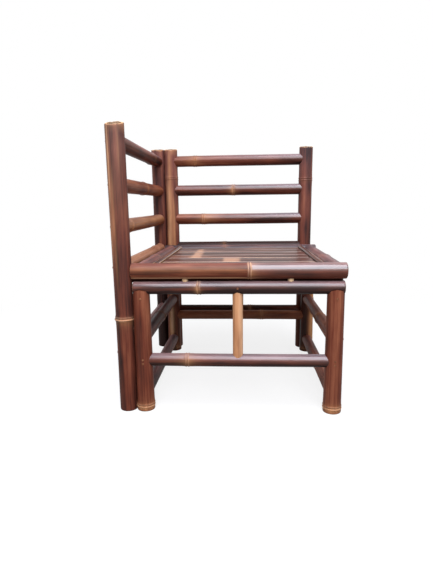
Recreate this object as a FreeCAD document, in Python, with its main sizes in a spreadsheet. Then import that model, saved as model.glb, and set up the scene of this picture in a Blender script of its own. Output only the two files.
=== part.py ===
import FreeCAD, Part
import os
from types import SimpleNamespace

import Sketcher

# Bamboo corner chair, in millimetres. +Z is up, +Y runs from the front of the seat to its back,
# +X runs to the right as seen from the front. The origin is on the floor, in the middle of the box
# round the chair. A stool base carries a seat panel on dowels, and two ladder backs, one on the left
# and one at the rear, stand on the floor beside it. Every pole is a hollow culm with its node ridges
# and node walls. Poles that end on another pole are fish-mouthed over it, and a dowel in their bore
# goes on into a blind hole, where a peg holds it.

DRIVING = (
    # Seat and base
    ("seat_width", 600.0, "length of the front and back seat poles"),
    ("seat_depth", 591.0, "seat frame, front face to back face"),
    ("seat_height", 437.5, "top of the seat poles above the floor"),
    ("seat_gap", 5.5, "open gap between a seat pole and the top rail under it"),
    ("seat_pole_dia", 45.0, "front and back seat poles"),
    ("seat_side_dia", 44.0, "left and right seat poles"),
    ("seat_side_inset", 3.0, "seat pole end to the outer side of a side pole"),
    ("top_rail_dia", 38.0, "front and back top rails of the base"),
    ("top_rail_inset", 4.0, "seat pole end to top rail end"),
    ("leg_dia", 50.0, "legs"),
    ("leg_inset", 2.0, "seat pole end to the outer side of a leg"),
    ("leg_wall", 13.0, "wall of a leg culm"),
    ("ear_drop", 4.0, "top of a leg's ears below the top rail's axis"),
    ("ear_arch", 10.0, "how far the ears' arch falls from there to the sides of the leg"),
    ("stretcher_dia", 37.0, "stretchers between legs"),
    ("stretcher_front_z", 154.0, "front stretcher axis"),
    ("stretcher_back_z", 150.0, "back stretcher axis"),
    ("side_upper_z", 219.0, "upper side stretcher axis"),
    ("side_lower_z", 54.0, "lower side stretcher axis"),
    ("strut_dia", 29.0, "upright strut between stretcher and top rail"),
    # Backs
    ("post_height", 815.0, "posts of both backs"),
    ("post_dia", 52.0, "posts of both backs"),
    ("post_gap", 0.5, "posts to the seat, leg or post that they stand against"),
    ("rear_rail_dia", 42.0, "rails of the rear back"),
    ("left_rail_dia", 42.0, "three upper rails of the left back"),
    ("left_low_dia", 36.0, "seat rail and low rail of the left back"),
    ("rail_drop", 47.0, "post top to the axis of the highest rail"),
    ("rail_pitch", 114.0, "from one back rail to the next"),
    ("rear_low_z", 158.0, "axis of the rear back's low rail"),
    ("left_low_z", 176.0, "axis of the left back's low rail"),
    ("rear_right_in", 11.0, "rear right post, further left than the leg before it"),
    # Culms
    ("culm_wall", 7.0, "wall of every culm but the legs"),
    ("node_rise", 1.8, "height of a node ridge"),
    ("node_half", 6.0, "half the length of a node ridge"),
    ("node_wall", 5.0, "thickness of the wall inside a node"),
    ("rim_bevel", 3.0, "bevel round a cut end that shows"),
    ("node_step", 12.0, "how far nodes of like culms are staggered"),
    # Node of each culm, from its left, front or lower end
    ("foot_node", 14.0, "legs"),
    ("post_node_drop", 24.0, "posts, below the middle between low rail and seat rail"),
    ("seat_front_node", 337.0, "front seat pole"),
    ("seat_back_node", 244.0, "back seat pole"),
    ("seat_side_node", 205.0, "side seat poles"),
    ("top_rail_node", 184.0, "top rails of the base"),
    ("stretcher_front_node", 130.0, "front stretcher"),
    ("stretcher_back_node", 186.0, "back stretcher, from its right end"),
    ("stretcher_side_node", 236.0, "side stretchers"),
    ("rear_rail_1_node", 100.0, "rear back, highest rail"),
    ("rear_rail_2_node", 245.0, "rear back, second rail"),
    ("rear_rail_3_node", 129.0, "rear back, third rail"),
    ("rear_rail_4_node", 208.0, "rear back, rail at the seat"),
    ("rear_low_node", 316.0, "rear back, low rail"),
    ("left_rail_1_node", 146.0, "left back, highest rail, from its back end"),
    ("left_rail_2_node", 300.0, "left back, second rail"),
    ("left_rail_3_node", 72.0, "left back, third rail"),
    ("left_rail_4_node", 128.0, "left back, rail at the seat, from its back end"),
    ("left_low_node", 255.0, "left back, low rail"),
    # Seat deck; the slats' widths are counted against one another
    ("slat_1_share", 84.0, "front slat, share of the width"),
    ("slat_2_share", 106.0, "second slat, share of the width"),
    ("slat_3_share", 80.0, "third slat, share of the width"),
    ("slat_4_share", 104.0, "fourth slat, share of the width"),
    ("slat_5_share", 76.0, "fifth slat, share of the width"),
    ("slat_6_share", 46.0, "back slat, share of the width"),
    ("slat_gap", 5.0, "open gap beside each slat"),
    ("slat_drop", 7.5, "crown of the slats below the top of the seat poles"),
    ("slat_crown", 9.0, "thickness of a slat in the middle"),
    ("slat_edge", 5.0, "thickness of a slat at its edges"),
    ("slat_end_gap", 3.0, "slat end to the side pole"),
    ("strip_width", 18.0, "strips that clamp the slat ends"),
    ("strip_crown", 7.0, "height of a clamp strip in the middle"),
    ("strip_edge", 3.0, "height of a clamp strip at its edges"),
    ("strip_inset", 4.0, "slat end to the clamp strip"),
    ("ledger_width", 30.0, "ledgers under the slat ends"),
    ("ledger_crown", 14.0, "height of a ledger in the middle"),
    ("ledger_edge", 5.0, "height of a ledger at its edges"),
    ("bearer_dia", 28.0, "pole under the middle of the slats"),
    ("batten_width", 12.0, "battens under the seat frame, inside the top rails"),
    ("batten_crown", 14.0, "height of a batten in the middle"),
    ("batten_edge", 10.0, "height of a batten at its edges"),
    # Joinery
    ("fit_gap", 0.2, "clearance round dowels, pegs and in fish-mouths"),
    ("dowel_grip", 28.0, "length of a joint dowel inside its own pole"),
    ("dowel_past", 10.0, "how far a dowel goes past the axis of the other pole"),
    ("leg_dowel_drop", 42.0, "dowel in a leg's top, below the top rail's axis"),
    ("leg_pin_drop", 28.0, "peg of that dowel, below the top rail's axis"),
    ("seat_dowel_dia", 17.0, "dowels that carry the seat on the base"),
    ("seat_dowel_x", 148.0, "those dowels, from the middle of the seat"),
    ("tie_dowel_dia", 16.0, "dowels that tie the backs to the legs and to one another"),
    ("tie_dowel_rise", 30.0, "those dowels, above the upper side stretchers"),
    ("peg_dia", 6.0, "pegs across the joint dowels"),
    ("peg_past", 8.0, "how far a peg goes past the dowel's axis"),
    ("peg_proud", 0.8, "how far a peg's head stands out"),
    ("peg_pair_half", 6.0, "pegs of a front or back stretcher, above and below its axis"),
    ("slat_peg_dia", 5.0, "pegs through clamp strips and slats"),
    ("slat_peg_depth", 9.0, "those pegs, inside the ledger"),
)


class Size:
    """A length that holds its value, for drawing, and its text, for binding to the sheet."""

    def __init__(self, value, text):
        self.value = value
        self.text = text

    def __add__(self, other):
        other = sized(other)
        return Size(self.value + other.value, f"({self.text} + {other.text})")

    def __sub__(self, other):
        other = sized(other)
        return Size(self.value - other.value, f"({self.text} - {other.text})")

    def __mul__(self, factor):
        factor = sized(factor)
        return Size(self.value * factor.value, f"({self.text} * {factor.text})")

    def __truediv__(self, divisor):
        divisor = sized(divisor)
        return Size(self.value / divisor.value, f"({self.text} / {divisor.text})")

    def __neg__(self):
        return self * -1


def sized(item):
    if isinstance(item, Size):
        return item
    return Size(item, f"{item}")


def lower_of(one, other):
    return Size(min(one.value, other.value), f"min({one.text}; {other.text})")


ZERO = Size(0, "0")

doc = FreeCAD.newDocument("corner_chair")
sheet = doc.addObject("Spreadsheet::Sheet", "dims")
for row, (alias, value, meaning) in enumerate(DRIVING, start=1):
    sheet.set(f"A{row}", meaning)
    sheet.set(f"B{row}", str(value))
    sheet.setAlias(f"B{row}", alias)
doc.recompute()
d = SimpleNamespace(**{alias: Size(value, f"dims.{alias}") for alias, value, meaning in DRIVING})

# A pole is drawn along its own Z. These turns lay it along the chair's X or Y: along X its own X and Y
# become Y and Z, and along Y they become Z and X.
DIAGONAL = FreeCAD.Vector(1, 1, 1)
TURN = {
    "Z": FreeCAD.Rotation(),
    "X": FreeCAD.Rotation(DIAGONAL, 120),
    "Y": FreeCAD.Rotation(DIAGONAL, 240),
    "flipped": FreeCAD.Rotation(FreeCAD.Vector(0, 1, 0), 180),
}

# Layout, first from the middle of the seat and the axis of the front legs
leg_x = d.seat_width / 2 - d.leg_inset - d.leg_dia / 2
depth = d.seat_depth - d.seat_pole_dia
seat_z = d.seat_height - d.seat_pole_dia / 2
top_rail_z = d.seat_height - d.seat_pole_dia - d.seat_gap - d.top_rail_dia / 2
top_rail_length = d.seat_width - d.top_rail_inset * 2
side_pole_x = d.seat_width / 2 - d.seat_side_inset - d.seat_side_dia / 2
left_post_x = -(d.seat_width / 2 + d.post_gap + d.post_dia / 2)
rear_post_y = depth + d.leg_dia / 2 + d.node_rise + d.post_gap + d.post_dia / 2
rear_left_x = left_post_x + d.post_dia + d.node_rise + d.post_gap
rail_z = [d.post_height - d.rail_drop - d.rail_pitch * step for step in range(4)]
leg_pin_z = top_rail_z - d.leg_pin_drop
tie_z = d.side_upper_z + d.tie_dowel_rise
corner_tie_z = (tie_z + d.left_low_z) / 2

LEG_X = {"left": -leg_x, "right": leg_x}
LEG_Y = {"front": ZERO, "back": depth}
STRETCHER_Z = {"front": d.stretcher_front_z, "back": d.stretcher_back_z}
STRETCHER_PEGS = (-d.peg_pair_half, d.peg_pair_half)
LEFT_POST_Y = {"front": ZERO, "back": rear_post_y}
REAR_POST_X = {"left": rear_left_x, "right": leg_x - d.rear_right_in}
INWARD = {"left": 1, "right": -1, "front": 1, "back": -1}

# The middle of the chair's box, which becomes the origin
centre_x = -(d.post_gap + d.post_dia + d.node_rise) / 2
centre_y = rear_post_y / 2


def place(piece, spot, turn="Z"):
    """Put a piece at a spot of the layout and keep it tied to the sheet."""
    x, y, z = spot
    chair_spot = (sized(x) - centre_x, sized(y) - centre_y, sized(z))
    base = FreeCAD.Vector(*[size.value for size in chair_spot])
    piece.Placement = FreeCAD.Placement(base, TURN[turn])
    for key, size in zip("xyz", chair_spot):
        piece.setExpression(f"Placement.Base.{key}", size.text)


def new_body(name, spot, turn="Z"):
    body = doc.addObject("PartDesign::Body", name)
    body.Label = name
    place(body, spot, turn)
    return body


class Drawing:
    """A sketch on one of a body's own planes, with every point pinned to the sheet."""

    def __init__(self, body, plane, name):
        planes = {feature.Role: feature for feature in body.Origin.OriginFeatures}
        self.sketch = body.newObject("Sketcher::SketchObject", name)
        self.sketch.AttachmentSupport = [(planes[plane], "")]
        self.sketch.MapMode = "FlatFace"
        self.constraints = []
        self.bindings = []

    def pin(self, curve, end, x, y):
        for kind, size, axis in (("DistanceX", x, -2), ("DistanceY", y, -1)):
            point, origin = (curve, end), (-1, 1)
            if size is ZERO:
                self.constraints.append(Sketcher.Constraint("PointOnObject", *point, axis))
            elif size.value < 0:
                self.measure(Sketcher.Constraint(kind, *point, *origin, -size.value), -size)
            else:
                self.measure(Sketcher.Constraint(kind, *origin, *point, size.value), size)

    def measure(self, constraint, size):
        self.bindings.append((len(self.constraints), size.text))
        self.constraints.append(constraint)

    def outline(self, points, crown_radius=None):
        """A closed outline. With a crown radius, its third side is an arc of that radius."""
        corners = [FreeCAD.Vector(x.value, y.value, 0) for x, y in points]
        first = self.sketch.GeometryCount
        count = len(points)
        for index, (x, y) in enumerate(points):
            begin, end = corners[index], corners[(index + 1) % count]
            side = Part.LineSegment(begin, end)
            if crown_radius is not None and index == 2:
                half = (begin - end).Length / 2
                rise = crown_radius.value - (crown_radius.value ** 2 - half ** 2) ** 0.5
                middle = (begin + end) / 2 + FreeCAD.Vector(0, rise, 0)
                side = Part.Arc(begin, middle, end)
            self.sketch.addGeometry(side, False)
            after = first + (index + 1) % count
            self.constraints.append(Sketcher.Constraint("Coincident", first + index, 2, after, 1))
        for index, (x, y) in enumerate(points):
            self.pin(first + index, 1, x, y)
        if crown_radius is not None:
            self.measure(Sketcher.Constraint("Radius", first + 2, crown_radius.value), crown_radius)

    def circle(self, x, y, radius):
        centre = FreeCAD.Vector(x.value, y.value, 0)
        curve = self.sketch.addGeometry(Part.Circle(centre, FreeCAD.Vector(0, 0, 1), radius.value), False)
        self.pin(curve, 3, x, y)
        self.measure(Sketcher.Constraint("Radius", curve, radius.value), radius)

    def finish(self):
        self.sketch.addConstraint(self.constraints)
        for index, text in self.bindings:
            self.sketch.setExpression(f"Constraints[{index}]", text)
        return self.sketch


def turned(body, kind, drawing, name):
    feature = body.newObject(f"PartDesign::{kind}", name)
    feature.Profile = drawing.finish()
    feature.ReferenceAxis = (drawing.sketch, ["V_Axis"])
    feature.Angle = 360


def culm(name, turn, spot, length, dia, wall, nodes, bevelled=()):
    """A hollow culm with a double ridge and an inner wall at each node; bevelled ends show."""
    body = new_body(name, spot, turn)
    radius = dia / 2
    crest = radius + d.node_rise
    valley = radius + d.node_rise / 2
    points = [(ZERO, ZERO)]
    if "start" in bevelled:
        points += [(radius - d.rim_bevel, ZERO), (radius, d.rim_bevel)]
    else:
        points += [(radius, ZERO)]
    for node in nodes:
        points += [
            (radius, node - d.node_half),
            (crest, node - d.node_half / 2),
            (valley, node),
            (crest, node + d.node_half / 2),
            (radius, node + d.node_half),
        ]
    if "end" in bevelled:
        points += [(radius, length - d.rim_bevel), (radius - d.rim_bevel, length)]
    else:
        points += [(radius, length)]
    points += [(ZERO, length)]
    skin = Drawing(body, "XZ_Plane", f"{name}_profile")
    skin.outline(points)
    turned(body, "Revolution", skin, f"{name}_skin")

    starts = [ZERO] + [node + d.node_wall / 2 for node in nodes]
    ends = [node - d.node_wall / 2 for node in nodes] + [length]
    hollow = Drawing(body, "XZ_Plane", f"{name}_hollows")
    for low, high in zip(starts, ends):
        hollow.outline([(ZERO, low), (radius - wall, low), (radius - wall, high), (ZERO, high)])
    turned(body, "Groove", hollow, f"{name}_bore")
    return body


def cut_drawing(body, drawing, name):
    """Cut what is drawn right through a body."""
    pocket = body.newObject("PartDesign::Pocket", name)
    pocket.Profile = drawing.finish()
    pocket.Type = "ThroughAll"
    pocket.SideType = "Symmetric"


def cut_through(body, plane, holes, name):
    """Cut round holes, each given as across, along and radius, right through a body."""
    drawing = Drawing(body, plane, f"{name}_circles")
    for hole in holes:
        drawing.circle(*hole)
    cut_drawing(body, drawing, name)


def arc_radius(half, rise):
    """Radius of the arc that rises that far over a chord of that half length."""
    return half * half / (rise * 2) + rise / 2


def fish_mouths(body, plane, mates):
    """Saddle a pole over its mates, each given as across, along and the mate's diameter."""
    holes = [(across, along, dia / 2 + d.fit_gap) for across, along, dia in mates]
    cut_through(body, plane, holes, f"{body.Label}_mouths")


def drill(body, axis, side, spots, hole_dia, past, name):
    """Drill blind holes along a pole's own X or Y, from the side that they open to, past its axis."""
    plane = {"X": "YZ_Plane", "Y": "XZ_Plane"}[axis]
    drawing = Drawing(body, plane, f"{body.Label}_{name}_circles")
    for across, along in spots:
        drawing.circle(across, along, hole_dia / 2 + d.fit_gap)
    pocket = body.newObject("PartDesign::Pocket", f"{body.Label}_{name}")
    pocket.Profile = drawing.finish()
    pocket.Type = "Length"
    pocket.SideType = "Two sides"
    pocket.Reversed = (side > 0) == (axis == "X")
    pocket.setExpression("Length", d.post_dia.text)
    pocket.setExpression("Length2", (past + d.fit_gap).text)


def bore_dowel(dia, wall):
    """Diameter of the dowel that fills a culm's bore."""
    return dia - wall * 2 - d.fit_gap * 2


STRETCHER_DOWEL = bore_dowel(d.stretcher_dia, d.culm_wall)
STRUT_DOWEL = bore_dowel(d.strut_dia, d.culm_wall)
LEG_DOWEL = bore_dowel(d.leg_dia, d.leg_wall)
SIDE_POLE_DOWEL = bore_dowel(d.seat_side_dia, d.culm_wall)
BEARER_DOWEL = bore_dowel(d.bearer_dia, d.culm_wall)
LEFT_DOWEL = bore_dowel(d.left_rail_dia, d.culm_wall)
LEFT_LOW_DOWEL = bore_dowel(d.left_low_dia, d.culm_wall)
REAR_DOWEL = bore_dowel(d.rear_rail_dia, d.culm_wall)

dowels = {}
pegs = {}


def rod(name, turn, spot, dia, length):
    cylinder = doc.addObject("Part::Cylinder", name)
    cylinder.setExpression("Radius", (dia / 2).text)
    cylinder.setExpression("Height", length.text)
    place(cylinder, spot, turn)
    return cylinder


def shifted(spot, axis, distance):
    moved = list(spot)
    index = "XYZ".index(axis)
    moved[index] = sized(moved[index]) + distance
    return moved


def rod_between(name, axis, spot, low, high, dia):
    """A rod along an axis, from low to high, counted from the spot."""
    return rod(name, axis, shifted(spot, axis, low), dia, high - low)


def joint_dowel(group, axis, side, spot, dia, mate_dia, pin=None, rises=(ZERO,)):
    """A dowel at the crossing of a pole and its mate; pegs along the pin axis, from its side, hold it."""
    family = dowels.setdefault(group, [])
    name = f"{group}_dowel_{len(family) + 1}"
    ends = (-d.dowel_past, mate_dia / 2 + d.dowel_grip)
    low, high = ends if side > 0 else (-ends[1], -ends[0])
    dowel = rod_between(name, axis, spot, low, high, dia)
    if pin:
        dowel = pinned(group, dowel, pin, spot, mate_dia, rises)
    family.append(dowel)


def pinned(group, dowel, pin, spot, mate_dia, rises=(ZERO,)):
    """Drill a dowel for its pegs, at those heights from the spot, and make the pegs."""
    pin_axis, pin_side = pin
    ends = (-d.peg_past, mate_dia / 2 + d.peg_proud)
    low, high = ends if pin_side > 0 else (-ends[1], -ends[0])
    family = pegs.setdefault(group, [])
    hole_dia = d.peg_dia + d.fit_gap * 2
    name = dowel.Name
    for number, rise in enumerate(rises, start=1):
        peg_spot = shifted(spot, "Z", rise)
        family.append(rod_between(f"{name}_peg_{number}", pin_axis, peg_spot, low, high, d.peg_dia))
        drilled = doc.addObject("Part::Cut", f"{name}_drilled_{number}")
        drilled.Base = dowel
        drilled.Tool = rod_between(
            f"{name}_hole_{number}", pin_axis, peg_spot, low - d.fit_gap, high, hole_dia)
        dowel = drilled
    return dowel


def grouped(name, members):
    compound = doc.addObject("Part::Compound", name)
    compound.Label = name
    compound.Links = members
    return compound


def arch_ears(leg, top):
    """Round off the tops of a leg's ears, as seen along the chair's Y."""
    half = d.leg_dia / 2 + d.node_rise
    side = top - d.ear_arch
    roof = top + d.ear_arch
    drawing = Drawing(leg, "XZ_Plane", f"{leg.Label}_arch_outline")
    drawing.outline([(-half, roof), (half, roof), (half, side), (-half, side)], arc_radius(half, d.ear_arch))
    cut_drawing(leg, drawing, f"{leg.Label}_arch")


def make_legs():
    rail_saddle = (ZERO, top_rail_z, d.top_rail_dia)
    ear_top = top_rail_z - d.ear_drop
    for end, y in LEG_Y.items():
        for side, x in LEG_X.items():
            name = f"leg_{end}_{side}"
            leg = culm(name, "Z", (x, y, ZERO), ear_top + d.rim_bevel, d.leg_dia, d.leg_wall,
                       [d.foot_node], ("start",))
            side_heights = [(ZERO, d.side_upper_z), (ZERO, d.side_lower_z)]
            pin_heights = [(ZERO, STRETCHER_Z[end] + rise) for rise in STRETCHER_PEGS]
            pin_heights.append((ZERO, leg_pin_z))
            in_x, in_y = INWARD[side], INWARD[end]
            fish_mouths(leg, "YZ_Plane", [rail_saddle])
            arch_ears(leg, ear_top)
            drill(leg, "X", in_x, [(ZERO, STRETCHER_Z[end])], STRETCHER_DOWEL, d.dowel_past, "mortise")
            drill(leg, "Y", in_y, side_heights, STRETCHER_DOWEL, d.dowel_past, "side_mortises")
            drill(leg, "Y", -in_y, pin_heights, d.peg_dia, d.peg_past, "pin_holes")
            drill(leg, "X", -in_x, side_heights, d.peg_dia, d.peg_past, "side_pin_holes")
            tie = [(ZERO, tie_z)]
            if end == "back":
                drill(leg, "Y", 1, tie, d.tie_dowel_dia, d.dowel_past, "tie_hole")
            elif side == "left":
                drill(leg, "X", -1, tie, d.tie_dowel_dia, d.dowel_past, "tie_hole")
            crossing = (x, y, top_rail_z)
            plug = rod_between(f"{name}_plug", "Z", crossing, -d.leg_dowel_drop, d.dowel_past, LEG_DOWEL)
            pin_spot = (x, y, leg_pin_z)
            dowels.setdefault("leg", []).append(pinned("base", plug, ("Y", -in_y), pin_spot, d.leg_dia))


def make_base_rails():
    for end, y in LEG_Y.items():
        rail = culm(f"top_rail_{end}", "X", (-top_rail_length / 2, y, top_rail_z), top_rail_length,
                    d.top_rail_dia, d.culm_wall, [d.top_rail_node], ("start", "end"))
        middle = top_rail_length / 2
        seat_spots = [(ZERO, middle - d.seat_dowel_x), (ZERO, middle + d.seat_dowel_x)]
        leg_spots = [(ZERO, middle - leg_x), (ZERO, middle + leg_x)]
        drill(rail, "Y", 1, seat_spots, d.seat_dowel_dia, d.dowel_past, "seat_holes")
        drill(rail, "Y", -1, leg_spots, LEG_DOWEL, d.dowel_past, "leg_holes")
        drill(rail, "Y", -1, [(ZERO, middle)], STRUT_DOWEL, d.dowel_past, "strut_hole")
        drill(rail, "X", -INWARD[end], [(ZERO, middle)], d.peg_dia, d.peg_past, "strut_pin_hole")


def make_stretchers():
    span = leg_x * 2
    first_node = {"front": d.stretcher_front_node, "back": span - d.stretcher_back_node}
    for end, y in LEG_Y.items():
        z = STRETCHER_Z[end]
        pole = culm(f"stretcher_{end}", "X", (-leg_x, y, z), span, d.stretcher_dia, d.culm_wall,
                    [first_node[end]])
        fish_mouths(pole, "XZ_Plane", [(ZERO, ZERO, d.leg_dia), (ZERO, span, d.leg_dia)])
        drill(pole, "Y", 1, [(ZERO, leg_x)], STRUT_DOWEL, d.dowel_past, "strut_hole")
        for side, x in LEG_X.items():
            joint_dowel("base", "X", INWARD[side], (x, y, z), STRETCHER_DOWEL, d.leg_dia,
                        ("Y", -INWARD[end]), STRETCHER_PEGS)
    for side, x in LEG_X.items():
        for step, (level, z) in enumerate((("upper", d.side_upper_z), ("lower", d.side_lower_z))):
            node = d.stretcher_side_node + d.node_step * (INWARD[side] + step)
            pole = culm(f"stretcher_{side}_{level}", "Y", (x, ZERO, z), depth, d.stretcher_dia,
                        d.culm_wall, [node])
            fish_mouths(pole, "YZ_Plane", [(ZERO, ZERO, d.leg_dia), (ZERO, depth, d.leg_dia)])
            for end, y in LEG_Y.items():
                joint_dowel("base", "Y", INWARD[end], (x, y, z), STRETCHER_DOWEL, d.leg_dia,
                            ("X", -INWARD[side]))


def make_struts():
    for end, y in LEG_Y.items():
        foot = (ZERO, y, STRETCHER_Z[end])
        height = top_rail_z - STRETCHER_Z[end]
        strut = culm(f"strut_{end}", "Z", foot, height, d.strut_dia, d.culm_wall, [])
        fish_mouths(strut, "YZ_Plane", [(ZERO, ZERO, d.stretcher_dia), (ZERO, height, d.top_rail_dia)])
        joint_dowel("strut", "Z", 1, foot, STRUT_DOWEL, d.stretcher_dia)
        joint_dowel("strut", "Z", -1, (ZERO, y, top_rail_z), STRUT_DOWEL, d.top_rail_dia,
                    ("Y", -INWARD[end]))


def make_seat_frame(bearer_z):
    middle = d.seat_width / 2
    first_node = {"front": d.seat_front_node, "back": d.seat_back_node}
    seat_spots = [(ZERO, middle - d.seat_dowel_x), (ZERO, middle + d.seat_dowel_x)]
    side_spots = [(ZERO, middle - side_pole_x), (ZERO, middle + side_pole_x)]
    bearer_spot = [(bearer_z - seat_z, middle)]
    for end, y in LEG_Y.items():
        pole = culm(f"seat_pole_{end}", "X", (-middle, y, seat_z), d.seat_width, d.seat_pole_dia,
                    d.culm_wall, [first_node[end]], ("start", "end"))
        drill(pole, "Y", -1, seat_spots, d.seat_dowel_dia, d.dowel_past, "seat_holes")
        drill(pole, "X", INWARD[end], side_spots, SIDE_POLE_DOWEL, d.dowel_past, "side_holes")
        drill(pole, "X", INWARD[end], bearer_spot, BEARER_DOWEL, d.dowel_past, "bearer_hole")
        for x in (-d.seat_dowel_x, d.seat_dowel_x):
            low = top_rail_z - seat_z - d.dowel_past
            pin = rod_between(f"seat_{end}_dowel", "Z", (x, y, seat_z), low, d.dowel_past, d.seat_dowel_dia)
            dowels.setdefault("seat", []).append(pin)
    for side, x in (("left", -side_pole_x), ("right", side_pole_x)):
        node = d.seat_side_node + d.node_step * INWARD[side]
        pole = culm(f"seat_pole_{side}", "Y", (x, ZERO, seat_z), depth, d.seat_side_dia, d.culm_wall, [node])
        fish_mouths(pole, "XZ_Plane", [(ZERO, ZERO, d.seat_pole_dia), (ZERO, depth, d.seat_pole_dia)])
        for end, y in LEG_Y.items():
            joint_dowel("seat_frame", "Y", INWARD[end], (x, y, seat_z), SIDE_POLE_DOWEL, d.seat_pole_dia)
    bearer = culm("seat_bearer", "Y", (ZERO, ZERO, bearer_z), depth, d.bearer_dia, d.culm_wall, [])
    rise = seat_z - bearer_z
    fish_mouths(bearer, "XZ_Plane", [(rise, ZERO, d.seat_pole_dia), (rise, depth, d.seat_pole_dia)])
    for end, y in LEG_Y.items():
        joint_dowel("seat_frame", "Y", INWARD[end], (ZERO, y, bearer_z), BEARER_DOWEL, d.seat_pole_dia)


def split_strip(name, plane, spot, length, width, edge, crown, holes=(), turn="Z"):
    """A split of bamboo: flat back, crowned face, drilled for its pegs if it has any."""
    body = new_body(name, spot, turn)
    section = Drawing(body, plane, f"{name}_section")
    section.outline([(ZERO, ZERO), (width, ZERO), (width, edge), (ZERO, edge)],
                    arc_radius(width / 2, crown - edge))
    pad = body.newObject("PartDesign::Pad", f"{name}_length")
    pad.Profile = section.finish()
    pad.Reversed = plane == "XZ_Plane"
    pad.setExpression("Length", length.text)
    if holes:
        radius = d.slat_peg_dia / 2 + d.fit_gap
        circles = [(across, along, radius) for across, along in holes]
        cut_through(body, "XY_Plane", circles, f"{name}_holes")


def make_battens(bearer_z):
    """Battens under the side poles and the bearer, close behind the top rails."""
    top = lower_of(seat_z - d.seat_side_dia / 2, bearer_z - d.bearer_dia / 2) - d.fit_gap
    inset = d.top_rail_dia / 2 + d.node_rise + d.fit_gap
    starts = {"front": inset, "back": depth - inset - d.batten_width}
    for end, y in starts.items():
        split_strip(f"seat_batten_{end}", "YZ_Plane", (top_rail_length / 2, y, top), top_rail_length,
                    d.batten_width, d.batten_edge, d.batten_crown, turn="flipped")


def make_deck(slat_z):
    shares = [d.slat_1_share, d.slat_2_share, d.slat_3_share, d.slat_4_share, d.slat_5_share, d.slat_6_share]
    share_sum = sum(shares, ZERO)
    clear_depth = depth - d.seat_pole_dia
    bamboo_depth = clear_depth - d.slat_gap * (len(shares) + 1)
    slat_half = side_pole_x - d.seat_side_dia / 2 - d.slat_end_gap
    slat_length = slat_half * 2
    strip_middle = d.strip_inset + d.strip_width / 2
    ledger_middle = side_pole_x - d.seat_side_dia / 2 - d.node_rise - d.fit_gap - d.ledger_width / 2
    first_y = d.seat_pole_dia / 2 + d.slat_gap
    strip_y = d.seat_pole_dia / 2 + d.fit_gap
    strip_length = clear_depth - d.fit_gap * 2
    peg_rows = []

    for step, share in enumerate(shares):
        shares_before = sum(shares[:step], ZERO)
        start = first_y + bamboo_depth * shares_before / share_sum + d.slat_gap * step
        width = bamboo_depth * share / share_sum
        holes = [(strip_middle, width / 2), (slat_length - strip_middle, width / 2)]
        split_strip(f"seat_slat_{step + 1}", "YZ_Plane", (-slat_half, start, slat_z), slat_length,
                    width, d.slat_edge, d.slat_crown, holes)
        peg_rows.append(start + width / 2)
    strip_z = slat_z + d.slat_crown
    members = []
    for side, sign in (("left", -1), ("right", 1)):
        peg_x = (slat_half - strip_middle) * sign
        ledger_x = ledger_middle * sign
        strip_holes = [(d.strip_width / 2, row - strip_y) for row in peg_rows]
        ledger_holes = [(d.ledger_width / 2 + ledger_x - peg_x, row - strip_y) for row in peg_rows]
        split_strip(f"clamp_strip_{side}", "XZ_Plane", (peg_x - d.strip_width / 2, strip_y, strip_z),
                    strip_length, d.strip_width, d.strip_edge, d.strip_crown, strip_holes)
        split_strip(f"ledger_{side}", "XZ_Plane", (ledger_x + d.ledger_width / 2, strip_y, slat_z),
                    strip_length, d.ledger_width, d.ledger_edge, d.ledger_crown, ledger_holes, "flipped")
        for row in peg_rows:
            high = d.slat_crown + d.strip_crown
            spot = (peg_x, row, slat_z)
            members.append(rod_between("slat_peg", "Z", spot, -d.slat_peg_depth, high, d.slat_peg_dia))
    grouped("slat_pegs", members)


def lower_node(low_z, step):
    """Height of a post's node between its low rail and its seat rail."""
    return (rail_z[-1] + low_z) / 2 - d.post_node_drop + d.node_step * step


def back_post(name, spot, nodes, rail_axis, rail_side, mortises, pin):
    """A post with the holes for its rails, given as dowel and heights, and for their pegs."""
    post = culm(name, "Z", spot, d.post_height, d.post_dia, d.culm_wall, nodes, ("start", "end"))
    pin_spots = []
    for number, (rail_dowel, heights) in enumerate(mortises, start=1):
        spots = [(ZERO, z) for z in heights]
        drill(post, rail_axis, rail_side, spots, rail_dowel, d.dowel_past, f"mortises_{number}")
        pin_spots += spots
    pin_axis, pin_side = pin
    drill(post, pin_axis, pin_side, pin_spots, d.peg_dia, d.peg_past, "pin_holes")
    return post


def tie_post(post, axis, side, across, z):
    drill(post, axis, side, [(across, z)], d.tie_dowel_dia, d.dowel_past, f"tie_hole_{axis}")


def tie_dowel(name, axis, spot, distance):
    """A dowel from one upright to the next one along an axis."""
    tie = rod_between(name, axis, spot, -d.dowel_past, distance + d.dowel_past, d.tie_dowel_dia)
    dowels.setdefault("tie", []).append(tie)


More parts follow.
